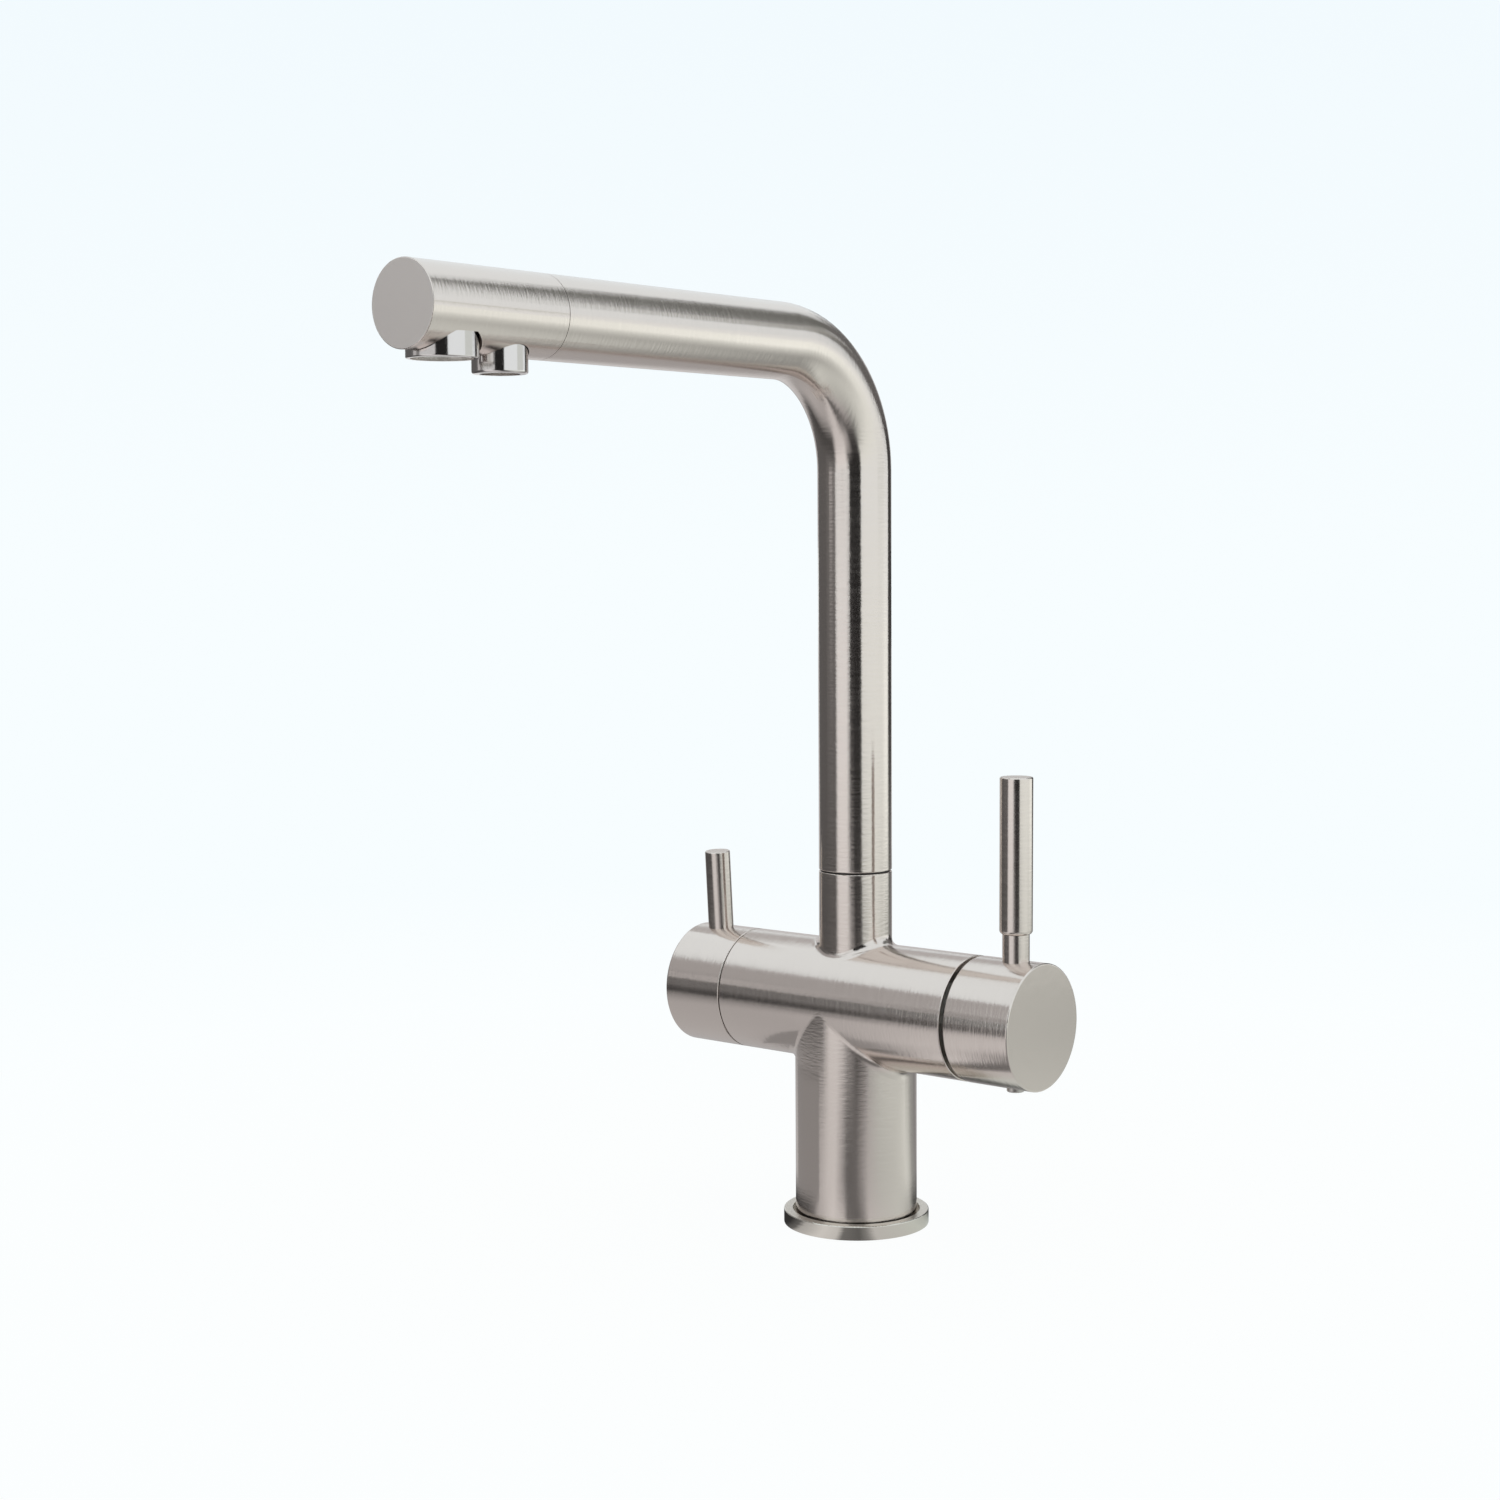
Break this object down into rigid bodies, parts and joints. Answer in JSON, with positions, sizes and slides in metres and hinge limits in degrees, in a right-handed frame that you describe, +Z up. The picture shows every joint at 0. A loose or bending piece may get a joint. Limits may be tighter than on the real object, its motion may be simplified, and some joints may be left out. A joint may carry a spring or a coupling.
{
  "type": "drinking water filter tap",
  "caption": "Kitchen mixer tap with a high square-bend spout, a side lever for mixed water, a second lever for filtered water and a separate outlet for each.",
  "frame": {"origin": "centre of the base flange's underside, on the worktop", "axes": "+Z up along the column and the spout's swivel axis; the spout points along -Y; the mixer handle is on the +X side and the filter handle on the -X side"},
  "size_m": [0.1619, 0.2555, 0.3492],
  "materials": {
    "brushed_spout": "fine brushing along the tube",
    "brushed_body": "fine brushing round the barrel and column",
    "brushed_flange": "fine circular brushing",
    "brushed_caps": "fine brushing round the cap",
    "brushed_levers": "fine brushing round the pin",
    "brushed_nozzle": "fine brushing along the head",
    "polished_outlets": "polished",
    "plug_metal": "satin",
    "brass": "machined",
    "copper": "drawn tube",
    "plain_steel": "machined",
    "ceramic": "polished",
    "pale_plastic": "moulded",
    "dark_plastic": "moulded",
    "hose_plastic": "extruded",
    "rubber": "moulded"
  },
  "bodies": {
    "tap": {"tap_body": "brushed_body", "base_flange": "brushed_flange", "base_seal": "rubber", "inlet_block": "brass", "cold_riser": "copper", "filter_riser": "copper", "hot_riser": "copper", "cartridge_base": "pale_plastic", "cartridge_port_seals": "rubber", "cartridge_fixed_disc": "ceramic", "cartridge_housing": "pale_plastic", "cartridge_nut": "plain_steel", "filter_valve_body": "brass", "filter_seat_seal": "rubber", "filter_valve_ring": "rubber", "filter_fixed_disc": "ceramic", "spout_set_screw": "plain_steel", "hose_tail": "brass"},
    "spout": {"spout_tube": "brushed_spout", "spout_bush": "brass", "swivel_rings": "rubber", "swivel_guide_ring": "pale_plastic", "swivel_washer": "dark_plastic", "inner_filter_hose": "hose_plastic", "hose_connector": "brass", "nozzle_head": "brushed_nozzle", "nozzle_ring": "rubber", "aerator_housing": "polished_outlets", "aerator_insert": "pale_plastic", "aerator_washer": "rubber", "filter_outlet": "polished_outlets", "stream_straightener": "pale_plastic", "filter_outlet_washer": "rubber"},
    "mixer_turret": {"mixer_turret": "pale_plastic", "pivot_pin": "plain_steel"},
    "mixer_disc": {"cartridge_moving_disc": "ceramic", "disc_carrier": "pale_plastic"},
    "mixer_handle": {"mixer_handle_cap": "brushed_caps", "mixer_spindle": "plain_steel", "mixer_lever_stem": "brushed_levers", "mixer_lever_grip": "brushed_levers", "mixer_lock_screw": "plain_steel", "mixer_screw_plug": "plug_metal"},
    "filter_handle": {"filter_handle_cap": "brushed_caps", "filter_lever": "brushed_levers", "filter_spindle": "brass", "filter_moving_disc": "ceramic", "filter_drive_insert": "pale_plastic", "filter_lock_screw": "plain_steel"}
  },
  "joints": [
    {"name": "spout_swivel", "type": "hinge", "parent": "tap", "child": "spout", "pos_m": [0, 0, 0.12], "axis": [0, 0, 1], "range_deg": [-180, 180]},
    {"name": "mixer_temperature", "type": "hinge", "parent": "tap", "child": "mixer_turret", "pos_m": [0.052, 0, 0.0861], "axis": [1, 0, 0], "range_deg": [-45, 45]},
    {"name": "mixer_flow", "type": "hinge", "parent": "mixer_turret", "child": "mixer_handle", "pos_m": [0.0665, 0, 0.0861], "axis": [0, 1, 0], "range_deg": [0, 15]},
    {"name": "mixer_disc_slide", "type": "slide", "parent": "mixer_turret", "child": "mixer_disc", "axis": [0, 0, 1], "range_m": [0, 0.0066]},
    {"name": "filter_valve_turn", "type": "hinge", "parent": "tap", "child": "filter_handle", "pos_m": [-0.052, 0, 0.0861], "axis": [1, 0, 0], "range_deg": [-3.7, 86.3]}
  ],
  "couplings": [
    {"joint": "mixer_disc_slide", "follows": "mixer_flow", "m_per_rad": 0.025}
  ]
}
